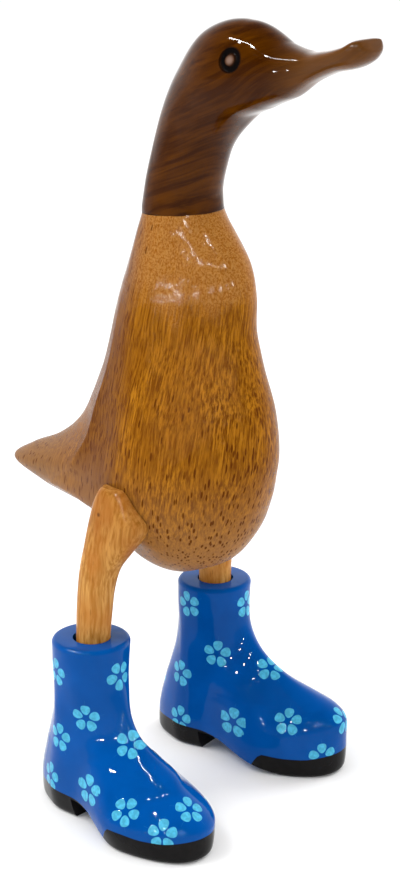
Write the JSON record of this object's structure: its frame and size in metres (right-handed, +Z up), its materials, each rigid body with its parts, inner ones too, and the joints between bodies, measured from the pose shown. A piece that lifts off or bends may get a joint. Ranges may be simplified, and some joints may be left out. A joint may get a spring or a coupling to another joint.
{
  "type": "carved wooden duck in painted boots",
  "caption": "Upright carved wooden duck, dark head on a pale body, standing on stick legs in glossy painted boots.",
  "frame": {"origin": "on the floor, at the middle of the duck's bounding box seen from above", "axes": "+Z up, the duck looks along -Y, its left side is at +X"},
  "size_m": [0.118, 0.1648, 0.2849],
  "materials": {
    "dark_wood": "dark brown grained wood under clear gloss lacquer",
    "golden_wood": "golden brown wood with short dark pores under clear gloss lacquer",
    "leg_wood": "light honey wood under clear lacquer",
    "boot_paint": "wood in high gloss blue paint with pale blue dabbed flowers, black satin sole and heel"
  },
  "bodies": {
    "root": {"head_and_neck": "dark_wood", "body_and_tail": "golden_wood", "left_leg": "leg_wood", "right_leg": "leg_wood", "left_boot": "boot_paint", "right_boot": "boot_paint"}
  },
  "joints": []
}
